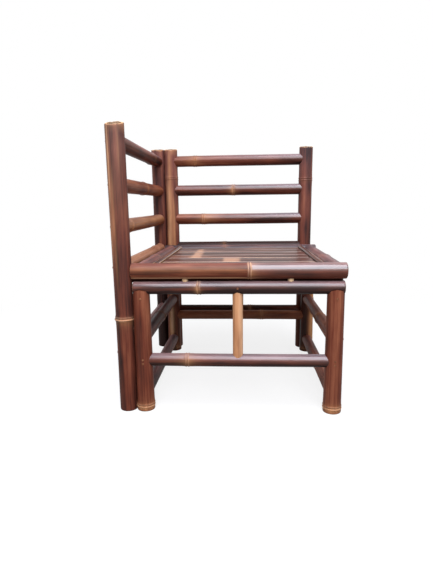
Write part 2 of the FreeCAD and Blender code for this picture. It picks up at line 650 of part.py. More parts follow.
def make_left_back():
    span = rear_post_y
    heights = rail_z + [d.left_low_z]
    mortises = [(LEFT_DOWEL, heights[:3]), (LEFT_LOW_DOWEL, heights[3:])]
    outside = ("X", -1)
    ties = {"front": (-leg_x, tie_z), "back": (rear_left_x, corner_tie_z)}
    for step, (end, y) in enumerate(LEFT_POST_Y.items()):
        post = back_post(f"left_post_{end}", (left_post_x, y, ZERO), [lower_node(d.left_low_z, step)], "Y",
                         INWARD[end], mortises, outside)
        mate_x, z = ties[end]
        tie_post(post, "X", 1, ZERO, z)
        tie_dowel(f"left_{end}_tie", "X", (left_post_x, y, z), mate_x - left_post_x)
    rails = (
        ("left_rail_1", d.left_rail_dia, LEFT_DOWEL, span - d.left_rail_1_node),
        ("left_rail_2", d.left_rail_dia, LEFT_DOWEL, d.left_rail_2_node),
        ("left_rail_3", d.left_rail_dia, LEFT_DOWEL, d.left_rail_3_node),
        ("left_rail_4", d.left_low_dia, LEFT_LOW_DOWEL, span - d.left_rail_4_node),
        ("left_rail_low", d.left_low_dia, LEFT_LOW_DOWEL, d.left_low_node),
    )
    for z, (name, dia, dowel, node) in zip(heights, rails):
        rail = culm(name, "Y", (left_post_x, ZERO, z), span, dia, d.culm_wall, [node])
        fish_mouths(rail, "YZ_Plane", [(ZERO, ZERO, d.post_dia), (ZERO, span, d.post_dia)])
        for end, y in LEFT_POST_Y.items():
            joint_dowel("left_back", "Y", INWARD[end], (left_post_x, y, z), dowel, d.post_dia, outside)


def make_rear_back():
    heights = rail_z + [d.rear_low_z]
    names = ["rear_rail_1", "rear_rail_2", "rear_rail_3", "rear_rail_4", "rear_rail_low"]
    nodes = [d.rear_rail_1_node, d.rear_rail_2_node, d.rear_rail_3_node, d.rear_rail_4_node, d.rear_low_node]
    outside = ("Y", 1)
    for step, (side, x) in enumerate(REAR_POST_X.items(), start=1):
        upper_node = (heights[0] + heights[1]) / 2 - d.node_step * step
        post = back_post(f"rear_post_{side}", (x, rear_post_y, ZERO),
                         [lower_node(d.rear_low_z, step), upper_node], "X", INWARD[side],
                         [(REAR_DOWEL, heights)], outside)
        tie_post(post, "Y", -1, LEG_X[side] - x, tie_z)
        tie_dowel(f"rear_{side}_tie", "Y", (LEG_X[side], depth, tie_z), rear_post_y - depth)
        if side == "left":
            tie_post(post, "X", -1, ZERO, corner_tie_z)
    span = REAR_POST_X["right"] - REAR_POST_X["left"]
    for name, z, node in zip(names, heights, nodes):
        rail = culm(name, "X", (REAR_POST_X["left"], rear_post_y, z), span, d.rear_rail_dia,
                    d.culm_wall, [node])
        fish_mouths(rail, "XZ_Plane", [(ZERO, ZERO, d.post_dia), (ZERO, span, d.post_dia)])
        for side, x in REAR_POST_X.items():
            joint_dowel("rear_back", "X", INWARD[side], (x, rear_post_y, z), REAR_DOWEL, d.post_dia, outside)


def check_document():
    """Stop if an object failed, a shape is missing or broken, or a cut took nothing away."""
    for item in doc.Objects:
        if {"Invalid", "Error"} & set(item.State):
            raise RuntimeError(f"{item.Label} failed: {item.State}")
        if item.TypeId in ("PartDesign::Pocket", "PartDesign::Groove"):
            if item.Shape.Volume >= item.BaseFeature.Shape.Volume:
                raise RuntimeError(f"{item.Label} cuts nothing")


def sub_parts():
    used = {member for item in doc.Objects if item.TypeId == "Part::Compound" for member in item.Links}
    kinds = ("PartDesign::Body", "Part::Compound")
    return [item for item in doc.Objects if item.TypeId in kinds and item not in used]


slat_bottom_z = d.seat_height - d.slat_drop - d.slat_crown
bearer_axis_z = slat_bottom_z - d.fit_gap - d.bearer_dia / 2
make_legs()
make_base_rails()
make_stretchers()
make_struts()
make_seat_frame(bearer_axis_z)
make_battens(bearer_axis_z)
make_deck(slat_bottom_z)
make_left_back()
make_rear_back()
for group, members in dowels.items():
    grouped(f"{group}_dowels", members)
for group, members in pegs.items():
    grouped(f"{group}_pegs", members)
doc.recompute()
check_document()

os.makedirs("parts", exist_ok=True)
for part in sub_parts():
    if part.Shape.isNull() or not part.Shape.isValid():
        raise RuntimeError(f"{part.Label} has no valid shape")
    part.Shape.exportStep(f"parts/{part.Label}.step")
    print(part.Label, len(part.Shape.Solids), round(part.Shape.Volume))
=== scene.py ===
import math
import zlib

import bpy
import numpy as np
from mathutils import Matrix, Vector


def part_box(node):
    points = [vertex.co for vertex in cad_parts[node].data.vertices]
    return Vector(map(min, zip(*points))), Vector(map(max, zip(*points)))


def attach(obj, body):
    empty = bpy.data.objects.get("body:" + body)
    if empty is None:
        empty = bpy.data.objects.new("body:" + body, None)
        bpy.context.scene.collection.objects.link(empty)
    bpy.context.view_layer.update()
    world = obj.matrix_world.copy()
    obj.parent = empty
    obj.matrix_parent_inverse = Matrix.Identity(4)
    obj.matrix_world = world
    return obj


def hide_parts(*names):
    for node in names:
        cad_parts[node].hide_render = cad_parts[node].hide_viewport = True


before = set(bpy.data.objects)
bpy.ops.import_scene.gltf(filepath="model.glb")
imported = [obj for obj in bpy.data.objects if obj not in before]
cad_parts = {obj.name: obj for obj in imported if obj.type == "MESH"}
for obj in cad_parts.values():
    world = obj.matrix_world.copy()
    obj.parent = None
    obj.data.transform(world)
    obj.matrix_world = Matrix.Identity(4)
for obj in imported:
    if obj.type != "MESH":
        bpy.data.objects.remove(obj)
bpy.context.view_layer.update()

# Axes of the frame, and how a pole lies in it
ALONG_X = 0
ALONG_Y = 1
UPRIGHT = 2

# Camera, in metres, degrees and pixels of the 433 x 577 picture
CAMERA_SPOT = Vector((0.0457, -1.5063, 0.5977))
CAMERA_YAW = 3.69
CAMERA_PITCH = 10.89
CAMERA_ROLL = -0.80
FOCAL_PIXELS = 437.06
PICTURE_HEIGHT = 577
SENSOR = 36.0

# Culm anatomy, in metres
CULM_WALL = 0.007
LEG_WALL = 0.013
NODE_WALL = 0.0025
NODE_RISE = 0.0018
NODE_REACH = 0.018
NODE_LINE_GAP = 0.007
# Skin at a node: flare, ridge, groove and second ridge, as (height, distance past the node, width)
NODE_PROFILE = (
    (0.0006, 0.0, 0.016), (0.0013, 0.0, 0.0016), (-0.0006, 0.0035, 0.0016), (0.0010, NODE_LINE_GAP, 0.0028))
COLLAR_WIDTH = 0.005
CREST_DEPTH = 0.0002
LEG_TAPER = 0.0020
UNEVEN = 0.00035
WAVE_TURNS = (1, 2, 3, 2)
WAVE_PACE = (2, 14)
LEG_BEND = 0.0002
POLE_BEND = 0.0005
BEND_SPREAD = (0.5, 1.5)
SEED_SPREAD = (0, 50)

# Sawn ends, their bores and the saddles, in metres and shares, and the painted shade inside them
RIM_BEVEL = 0.003
RIM_BREAK = 0.3
CHIPPED = 0.15
CHIP_TURNS = 5
BORE_DEPTH = 0.090
BORE_CHAMFER = 0.0006
CHAMFER_DEPTH = 0.0008
BORE_MIDWAY = 0.3
DOME_RISE = 0.97
DOME_WIDTH = 0.5
LIP_SHADE = 0.7
BORE_SHADE = 0.8
SADDLE_SHADE = 0.5
EAR_DROP = 0.004
EAR_ARCH = 0.0085
SADDLE_BITE = 0.0005
SADDLE_BORE = 0.03
SADDLE_MARGIN = 0.005

# Rings and sides of a culm's mesh
SIDES = 48
RING_STEP = 0.014
NODE_FINE_STEP = 0.001
SADDLE_RINGS = 5
SADDLE_STEPS = 3
SMOOTH_ANGLE = math.radians(40)

# Which pole each saddled end of a culm sits on; a sawn end that shows is "cut"
ENDS = ("front", "back")
FLANKS = ("left", "right")
RAIL_LEVELS = (1, 2, 3, 4, "low")
SAWN = ("cut", "cut")
LEGS = {f"leg_{end}_{side}": ("cut", f"top_rail_{end}") for end in ENDS for side in FLANKS}
POSTS = {name: SAWN for name in (
    "left_post_front", "left_post_back", "rear_post_left", "rear_post_right")}
CROSS_POLES = {name: SAWN for name in (
    "top_rail_front", "top_rail_back", "seat_pole_front", "seat_pole_back")}
STRETCHERS = {f"stretcher_{end}": (f"leg_{end}_left", f"leg_{end}_right") for end in ENDS}
SIDE_STRETCHERS = {f"stretcher_{side}_{level}": (f"leg_front_{side}", f"leg_back_{side}")
                   for side in FLANKS for level in ("upper", "lower")}
STRUTS = {f"strut_{end}": (f"stretcher_{end}", f"top_rail_{end}") for end in ENDS}
SEAT_SIDES = {name: ("seat_pole_front", "seat_pole_back") for name in (
    "seat_pole_left", "seat_pole_right", "seat_bearer")}
LEFT_RAILS = {f"left_rail_{level}": ("left_post_front", "left_post_back") for level in RAIL_LEVELS}
REAR_RAILS = {f"rear_rail_{level}": ("rear_post_left", "rear_post_right") for level in RAIL_LEVELS}
CULM_SETS = (
    (UPRIGHT, LEGS), (UPRIGHT, POSTS), (UPRIGHT, STRUTS),
    (ALONG_X, CROSS_POLES), (ALONG_X, STRETCHERS), (ALONG_X, REAR_RAILS),
    (ALONG_Y, SIDE_STRETCHERS), (ALONG_Y, SEAT_SIDES), (ALONG_Y, LEFT_RAILS),
)
NO_NODES = ("seat_bearer", "strut_front", "strut_back")
STRUT_TAN = ("strut_front", "strut_back")
RAIL_TAN = ("left_rail_4",)

# Varnish of the culms' skin, the painted highlight on it, and painted shade in the crevices
UPRIGHT_GLOSS = 0.06
UNDER_GLOSS = 0.08
LYING_GLOSS = {ALONG_X: (0.7, 0.7), ALONG_Y: (0.27, 0.27)}
GLOSS_SOFT = 0.12
POST_PAINTED_HIGHLIGHT = 0.08
HIGHLIGHT_FROM = 0.45
HIGHLIGHT_SOFT = 0.10
WORN_SOFT = 0.004
WORN_GLOSS_LOSS = 0.9
WORN_HIGHLIGHT_LOSS = 0.7
CREVICE_FROM = 0.965
CREVICE_SOFT = 0.008

# Pale skin and pale lines round the nodes, at the tips and in streaks
HALO_STRENGTH = (0.2, 0.45)
HALO_BEFORE = (0.005, 0.011)
HALO_AFTER = (0.010, 0.026)
RAGGED = 0.0012
SECOND_LINE = 0.7
SECOND_BAND = 0.0018
LINE_UNEVEN = 0.25
LINE_BELOW = 0.35
LINE_SOFT = 0.3
TIP_PALE = 0.6
TIP_RAGGED = 6
STREAK_SOFT = 0.02
BARE_SHARE = 0.7

# Finish of a culm:
# tone     lightness of its stain at the low and high end, from -1 dark to 1 light
# painted_shading  painted light and shade on a lying culm: how much lighter it is on top, and how much
# darker below
# rings    strength of the pale node lines
# halo     tan skin round a node: strength, and reach before and after it as the culm grew
# gloss    varnish on a lying culm's upper side, at the low and high end
# painted_highlight  lavender grey painted highlight there, at the low and high end
# worn     stretch, in metres, where the varnish is dull
# crevice  side with painted shade where the culm lies against another pole, 1 on top and -1 below
# tips     reach of worn skin at the low and high end
# collar   extra height of the node
# band     half width of the pale lines
# shift    how far an upright stands off to the right
# slant    how far the back of a sawn top stands above its middle
# streaks  pale skin, as (angle, half angle, low, high, strength), in degrees and metres, bare where the
#          strength is over 1; some streaks are a painted lit side or a painted highlight
PLAIN_FINISH = {
    "tone": (0.0, 0.0), "painted_shading": 0.0, "rings": 0.3, "halo": None, "gloss": None, "painted_highlight": (0.2, 0.2),
    "worn": None, "crevice": 0, "tips": (0.0, 0.0), "collar": 0.0, "band": 0.0015, "shift": 0.0,
    "slant": 0.0, "streaks": ()}
FOOT = {"tone": (-0.15, -0.15), "rings": 0.45, "halo": (0.75, 0.02, 0.008), "band": 0.0022}
SHADED = {"rings": 0.1, "gloss": (0.06, 0.06)}
FINISHES = {
    "left_post_front": {
        "tone": (-0.3, 0.05), "rings": 0.35, "halo": (0.65, 0.010, 0.004), "collar": 0.0022, "band": 0.0032,
        "tips": (0.0, 0.018), "slant": 0.007,
        # The streaks at 280 and 231 degrees are a painted sheen on the upper part and a painted highlight
        # along the left edge
        "streaks": ((222, 22, 0.45, 0.83, 0.45), (280, 60, 0.55, 0.85, 0.1), (231, 7, 0.62, 0.82, 1.35),
                    (252, 9, 0.40, 0.70, 0.5), (300, 8, 0.70, 0.80, 0.5))},
    "left_post_back": {"tone": (-1.7, -0.3), "tips": (0.0, 0.004), "slant": 0.004},
    "rear_post_left": {
        "tone": (0.0, 0.3), "rings": 0.02, "halo": (0.1, 0.010, 0.010), "tips": (0.0, 0.014),
        "shift": -0.0016, "slant": 0.004,
        "streaks": ((250, 26, 0.40, 0.68, 1.2), (290, 12, 0.40, 0.62, 0.7), (262, 16, 0.62, 0.80, 0.7))},
    "rear_post_right": {"tone": (-0.3, -0.3), "rings": 0.02, "halo": (0.1, 0.010, 0.010), "slant": 0.004},
    "leg_front_left": {**FOOT, "shift": -0.0018},
    "leg_front_right": FOOT,
    # Its streak is a painted pool of light on the front of the leg
    "leg_back_left": {"tone": (-0.2, -0.2), "streaks": ((258, 20, 0.07, 0.22, 2.0),)},
    # Its streak is a painted lit side, on the right of the leg
    "leg_back_right": {"tone": (-0.3, -0.3), "streaks": ((318, 34, 0.02, 0.30, 1.0),)},
    "seat_pole_front": {
        "tone": (0.45, -0.35), "painted_shading": -0.2, "rings": 1.0, "halo": (0.5, 0.012, 0.004), "gloss": (1.0, 1.0),
        "worn": (-0.30, 0.06), "crevice": -1,
        # The streak at 160 degrees is painted light on the front of the dull stretch
        "streaks": ((160, 24, -0.28, 0.06, 0.32), (231, 6, -0.28, 0.06, 2.0))},
    # Its dark tone is painted shade at the back edge of the seat
    "seat_pole_back": {
        "tone": (-1.0, -1.0), "rings": 0.05, "halo": (0.2, 0.008, 0.008), "gloss": (0.15, 0.3),
        "painted_highlight": (0.1, 0.17), "crevice": -1},
    "seat_pole_left": {
        "tone": (-0.4, -0.4), "rings": 0.1, "halo": (0.15, 0.010, 0.010), "painted_highlight": (0.12, 0.12)},
    "seat_pole_right": {
        "tone": (-0.7, -0.7), "rings": 0.05, "halo": (0.1, 0.010, 0.010), "gloss": (0.35, 0.35),
        "painted_highlight": (0.16, 0.16)},
    "top_rail_front": {
        "tone": (-0.6, -0.85), "painted_shading": 0.8, "rings": 0.5, "halo": (0.75, 0.006, 0.006), "gloss": (0.6, 0.6),
        "painted_highlight": (0.3, 0.3), "crevice": 1},
    "top_rail_back": {"tone": (-0.6, -0.6), "crevice": 1},
    "stretcher_front": {
        "tone": (-0.7, -1.3), "painted_shading": 0.6, "rings": 0.35, "halo": (0.5, 0.016, 0.022),
        "gloss": (0.26, 0.60), "painted_highlight": (0.22, 0.42)},
    "stretcher_back": {"tone": (0.9, 0.9), "rings": 0.15, "gloss": (0.1, 0.1), "painted_highlight": (0.0, 0.0)},
    "rear_rail_1": {
        "tone": (-0.3, -0.6), "rings": 0.02, "halo": (0.4, 0.014, 0.036), "gloss": (0.10, 0.50),
        "painted_highlight": (0.05, 0.38)},
    "rear_rail_2": {
        "tone": (-0.5, -0.6), "rings": 0.45, "halo": (0.6, 0.010, 0.010), "gloss": (0.25, 0.70),
        "painted_highlight": (0.1, 0.38)},
    "rear_rail_3": {
        "tone": (0.3, -0.7), "rings": 0.3, "halo": (0.5, 0.045, 0.025), "gloss": (0.10, 0.68),
        "painted_highlight": (0.05, 0.38)},
    # Its dark tone is painted shade at the back of the seat
    "rear_rail_4": {
        "tone": (-1.7, -1.7), "rings": 0.05, "halo": (0.2, 0.006, 0.006), "gloss": (0.05, 0.12),
        "painted_highlight": (0.0, 0.0)},
    # Its dark tone is painted shade low behind the seat
    "rear_rail_low": {"tone": (-0.7, -0.7), "rings": 0.1, "gloss": (0.1, 0.1), "painted_highlight": (0.0, 0.0)},
    "left_rail_1": {"tone": (-0.3, -0.3), "rings": 0.03, "halo": (0.15, 0.01, 0.01)},
    "left_rail_2": {"tone": (0.7, 0.9), "rings": 0.1, "gloss": (0.14, 0.14), "painted_highlight": (0.0, 0.0)},
    "left_rail_3": {
        "tone": (0.6, 0.4), "rings": 0.3, "halo": (0.5, 0.01, 0.03), "painted_highlight": (0.1, 0.1),
        "streaks": ((60, 60, -0.30, 0.30, 0.7),)},
    "left_rail_4": {"tone": (0.5, 0.3), "painted_highlight": (0.0, 0.0)},
    "strut_front": {
        "tone": (-0.5, -0.3), "streaks": ((314, 30, 0.10, 0.42, 0.95), (284, 5, 0.17, 0.36, 0.6))},
    "stretcher_left_upper": {**SHADED, "tone": (-0.9, -0.5), "painted_highlight": (0.05, 0.15)},
    "stretcher_left_lower": {**SHADED, "tone": (-1.0, 0.0), "painted_highlight": (0.05, 0.28)},
    "stretcher_right_upper": {**SHADED, "tone": (0.2, 0.2), "painted_highlight": (0.05, 0.05)},
    "stretcher_right_lower": {**SHADED, "tone": (0.2, 0.2), "painted_highlight": (0.05, 0.05)},
}

# Splits are strips of a wide culm: slats, clamp strips, ledgers and battens; in metres
SPLIT_STEP = 0.010
SPLIT_ACROSS = 14
SPLIT_HOLLOW = 0.0012
SPLIT_SWAYS = ((0.0005, 9), (0.0003, 23))
SPLIT_DIP = 0.0003
SPLIT_DIP_PACE = 13
SPLIT_RIM = 0.99
# How far a strip runs past its low end: the front batten's dark end fills the gap beside the left post as
# painted shade
SHADE_FILL_REACH = {"seat_batten_front": 0.011}
# Shaved nodes of the slats, as (middle, half length, lean)
SLAT_PATCHES = {
    "seat_slat_2": ((0.006, 0.024, 0.0),), "seat_slat_3": ((-0.112, 0.017, 0.10),),
    "seat_slat_4": ((-0.114, 0.014, 0.05),), "seat_slat_5": ((-0.116, 0.012, 0.05),),
}
PATCH_SOFT = 0.0015
PATCH_RISE = 0.0008
PATCH_WIDTH = 0.8

# Layers of grain, as (stretch along the piece, scale, detail), and the range that most of a layer is in
NOISE_LOW = 0.3
NOISE_MIDDLE = 0.5
NOISE_HIGH = 0.7
CULM_STREAK = (0.025, 75, 2)
CULM_FIBRE = (0.010, 480, 2)
CULM_MOTTLE = (0.16, 55, 3)
CULM_CLOUD = (0.35, 13, 2)
CULM_SPECK = (0.12, 420, 3)
STREAK_SHARE = 0.7
STAIN_BASE = 0.15
TONE_SHARE = 0.25
FIBRE_RELIEF = 0.6
CUT_GRIME = (1, 90, 4)
CUT_GRAIN = (0.1, 900, 2)
BUNDLE_STRETCH = 0.15
BUNDLE_SCALE = 750
SLAT_STREAK = (0.03, 130, 4)
SLAT_FIBRE = (0.01, 800, 2)
SLAT_CLOUD = (0.3, 18, 3)
WOOD_GRAIN = (0.3, 260, 5)
WOOD_CLOUD = (1, 40, 3)
WOOD_SEED = 0.0


def tint(red, green, blue):
    """A linear colour from its everyday 0 to 255 values."""
    parts = []
    for value in (red, green, blue):
        share = value / 255
        parts.append(share / 12.92 if share <= 0.04045 else ((share + 0.055) / 1.055) ** 2.4)
    return (*parts, 1.0)


WHITE = (1, 1, 1, 1)
# Lavender grey of the painted highlight on lying culms and posts
HIGHLIGHT_GREY = tint(178, 164, 172)
# Dark brown of the painted shade in the crease between poles that lie on one another
CREASE_SHADE_BROWN = tint(26, 14, 12)

# Places of a Mix node's colour sockets
MIX_FIRST = 6
MIX_SECOND = 7
MIX_RESULT = 2


class Graph:
    """A material's node tree, with short calls for the nodes used here."""

    def __init__(self, tree):
        self.tree = tree
        tree.nodes.clear()

    def node(self, kind, **settings):
        made = self.tree.nodes.new("ShaderNode" + kind)
        for name, value in settings.items():
            setattr(made, name, value)
        return made

    def feed(self, socket, value):
        """Links value where it is a node's output, and sets it where it is a plain number or colour."""
        if isinstance(value, bpy.types.NodeSocket):
            self.tree.links.new(value, socket)
        else:
            socket.default_value = value

    def attribute(self, name):
        return self.node("Attribute", attribute_name=name).outputs["Fac"]

    def place(self):
        return self.node("TexCoord").outputs["Object"]

    def math(self, operation, first, second):
        made = self.node("Math", operation=operation)
        self.feed(made.inputs[0], first)
        self.feed(made.inputs[1], second)
        return made.outputs[0]

    def swayed(self, value, layer, share):
        """The value, raised and lowered by a layer of grain."""
        swing = self.math("MULTIPLY", self.math("SUBTRACT", layer, NOISE_MIDDLE), share)
        return self.math("ADD", value, swing)

    def mix(self, share, first, second):
        made = self.node("Mix", data_type="RGBA")
        self.feed(made.inputs[0], share)
        self.feed(made.inputs[MIX_FIRST], first)
        self.feed(made.inputs[MIX_SECOND], second)
        return made.outputs[MIX_RESULT]

    def stretched(self, vector, along):
        made = self.node("VectorMath", operation="MULTIPLY")
        self.feed(made.inputs[0], vector)
        self.feed(made.inputs[1], (1, 1, along))
        return made.outputs[0]

    def grain(self, place, layer, seed):
        along, scale, detail = layer
        made = self.node("TexNoise", noise_dimensions="4D")
        self.feed(made.inputs["Vector"], self.stretched(place, along))
        self.feed(made.inputs["W"], seed)
        made.inputs["Scale"].default_value = scale
        made.inputs["Detail"].default_value = detail
        return made.outputs["Fac"]

    def ramp(self, value, *stops):
        made = self.node("ValToRGB")
        elements = made.color_ramp.elements
        while len(elements) < len(stops):
            elements.new(0.5)
        for element, (position, colour) in zip(elements, stops):
            element.position = position
            element.color = colour
        self.feed(made.inputs[0], value)
        return made.outputs[0]

    def spread(self, value, low, high, to_low=0.0, to_high=1.0, kind="LINEAR"):
        made = self.node("MapRange", interpolation_type=kind)
        self.feed(made.inputs[0], value)
        for socket, number in zip(made.inputs[1:5], (low, high, to_low, to_high)):
            socket.default_value = number
        return made.outputs[0]

    def ranged(self, layer, to_low, to_high):
        """A layer of grain, spread from one value to another."""
        return self.spread(layer, NOISE_LOW, NOISE_HIGH, to_low, to_high)

    def bump(self, height, strength, distance):
        made = self.node("Bump")
        self.feed(made.inputs["Height"], height)
        made.inputs["Strength"].default_value = strength
        made.inputs["Distance"].default_value = distance
        return made.outputs["Normal"]

    def seen(self):
        """1 for what is seen directly, in gloss or through glass, and 0 for light that bounces."""
        path = self.node("LightPath")
        direct = self.math("MAXIMUM", path.outputs["Is Camera Ray"], path.outputs["Is Glossy Ray"])
        return self.math("MAXIMUM", direct, path.outputs["Is Transmission Ray"])

    def principled(self, inputs):
        shader = self.node("BsdfPrincipled")
        for name, value in inputs.items():
            self.feed(shader.inputs[name], value)
        self.surface(shader)

    def surface(self, shader):
        output = self.node("OutputMaterial")
        self.feed(output.inputs["Surface"], shader.outputs[0])


def new_material(name):
    material = bpy.data.materials.new(name)
    material.use_nodes = True
    return material, Graph(material.node_tree)


def culm_material(name, deep, body, warm, pale, ring, coat):
    """Varnished bamboo skin: stain in long streaks and clouds, tan round the nodes, pale node lines."""
    material, g = new_material(name)
    place = g.place()
    seed = g.attribute("seed")
    streak = g.grain(place, CULM_STREAK, seed)
    fibre = g.grain(place, CULM_FIBRE, seed)
    mottle = g.grain(place, CULM_MOTTLE, seed)
    cloud = g.grain(place, CULM_CLOUD, seed)
    speck = g.grain(place, CULM_SPECK, seed)

    stain = g.math("ADD", g.math("MULTIPLY", streak, STREAK_SHARE), STAIN_BASE)
    for layer, share in ((mottle, 0.6), (cloud, 0.7), (fibre, 0.5)):
        stain = g.swayed(stain, layer, share)
    stain = g.math("ADD", stain, g.math("MULTIPLY", g.attribute("tone"), TONE_SHARE))
    colour = g.ramp(stain, (0.20, deep), (0.50, body), (0.82, warm))
    # Pale skin: tan halos, worn tips and streaks, of which some are a painted lit side or a painted
    # highlight
    worn = g.math("MULTIPLY", g.attribute("pale"), g.ranged(streak, 0.55, 1.0))
    worn = g.math("MULTIPLY", worn, g.spread(mottle, 0.38, 0.62, 0.68, 1.08))
    colour = g.mix(worn, colour, pale)
    colour = g.mix(g.spread(speck, 0.64, 0.74, 0.0, 0.35), colour, deep)
    # Painted highlight: lavender grey on the upper side of lying culms and on the upper part of posts
    highlight_share = g.math("MULTIPLY", g.attribute("painted_highlight"), g.ranged(mottle, 0.7, 1.3))
    colour = g.mix(highlight_share, colour, HIGHLIGHT_GREY)
    colour = g.mix(g.attribute("ring"), colour, ring)
    # Painted shade in the crease where two poles lie on one another
    colour = g.mix(g.attribute("dirt_and_crease_shade"), colour, CREASE_SHADE_BROWN)

    edge_on = g.node("LayerWeight").outputs["Facing"]
    dulled = g.spread(edge_on, 0.6, 0.95, coat, 0.0)
    relief = g.math("ADD", g.math("MULTIPLY", fibre, FIBRE_RELIEF), streak)
    g.principled({
        "Base Color": colour,
        "Roughness": g.ranged(streak, 0.45, 0.6),
        "Specular IOR Level": 0.05,
        "Coat Weight": g.math("MULTIPLY", g.attribute("gloss"), dulled),
        "Coat Roughness": 0.14,
        "Coat IOR": 1.6,
        "Normal": g.bump(relief, strength=0.10, distance=0.0007),
    })
    return material


def cut_material(name):
    """Raw sawn bamboo: pale, with darker fibre bundles, a little dirt, and painted shade in the bores and
    saddles.
    """
    material, g = new_material(name)
    place = g.place()
    seed = g.attribute("seed")
    dirt_and_crease_shade = g.grain(place, CUT_GRIME, seed)
    grain = g.grain(place, CUT_GRAIN, seed)
    bundles = g.node("TexVoronoi")
    g.feed(bundles.inputs["Vector"], g.stretched(place, BUNDLE_STRETCH))
    bundles.inputs["Scale"].default_value = BUNDLE_SCALE
    dots = g.spread(bundles.outputs["Distance"], 0.12, 0.4)
    colour = g.ramp(dots, (0.0, tint(128, 86, 52)), (1.0, tint(206, 164, 118)))
    colour = g.mix(g.spread(dirt_and_crease_shade, 0.42, 0.7, 0.0, 0.75), colour, tint(122, 80, 52))
    # Painted shade inside the bores and at the saddled ends
    colour = g.mix(g.attribute("inside"), colour, tint(64, 44, 32))
    g.principled({
        "Base Color": colour,
        "Roughness": g.ranged(dirt_and_crease_shade, 0.62, 0.85),
        "Normal": g.bump(grain, strength=0.35, distance=0.0006),
    })
    return material


def slat_material(name):
    """Split bamboo under satin varnish: brown with a grey-purple cast and pale shaved nodes."""
    material, g = new_material(name)
    place = g.place()
    seed = g.attribute("seed")
    streak = g.grain(place, SLAT_STREAK, seed)
    fibre = g.grain(place, SLAT_FIBRE, seed)
    cloud = g.grain(place, SLAT_CLOUD, seed)
    stain = g.swayed(g.swayed(streak, cloud, 0.8), fibre, 0.3)
    colour = g.ramp(stain, (0.25, tint(34, 18, 16)), (0.5, tint(78, 47, 40)), (0.8, tint(124, 84, 70)))
    patch = g.math("MULTIPLY", g.attribute("pale"), g.ranged(streak, 0.55, 0.95))
    colour = g.mix(patch, colour, tint(184, 138, 108))
    # Pale lines along the edges: partly the pale raw edge, partly a painted highlight on the rounded edge
    colour = g.mix(g.attribute("edge_pale_and_highlight"), colour, tint(218, 192, 178))
    g.principled({
        "Base Color": colour,
        "Roughness": g.ranged(streak, 0.36, 0.52),
        "Specular IOR Level": 0.1,
        "Coat Weight": g.attribute("gloss"),
        "Coat Roughness": 0.2,
        "Normal": g.bump(g.math("ADD", fibre, streak), strength=0.16, distance=0.0008),
    })
    return material


def wood_material(name, dark, body, light):
    """Turned wood of dowels and pegs, with fine grain and a few darker lines."""
    material, g = new_material(name)
    place = g.place()
    grain = g.grain(place, WOOD_GRAIN, WOOD_SEED)
    cloud = g.grain(place, WOOD_CLOUD, WOOD_SEED)
    colour = g.ramp(grain, (0.3, dark), (0.55, body), (0.75, light))
    colour = g.mix(g.spread(cloud, 0.45, 0.75, 0.0, 0.5), colour, dark)
    g.principled({
        "Base Color": colour,
        "Roughness": g.ranged(cloud, 0.5, 0.7),
        "Specular IOR Level": 0.1,
        "Normal": g.bump(grain, strength=0.2, distance=0.0005),
    })
    return material


# Where a soft step is as good as flat
STEP_LIMIT = 50


def bell(distance, width):
    return np.exp(-(distance / width) ** 2)


def soft_step(distance, softness):
    steps = np.clip(distance / softness, -STEP_LIMIT, STEP_LIMIT)
    return 1 / (1 + np.exp(-steps))


def local_matrix(axis, origin):
    """Local Z runs along the given axis; local X and Y are the next two axes."""
    turn = Matrix.Identity(4)
    for column, world_axis in enumerate(((axis + 1) % 3, (axis + 2) % 3, axis)):
        for row in range(3):
            turn[row][column] = 1.0 if row == world_axis else 0.0
    return Matrix.Translation(origin) @ turn


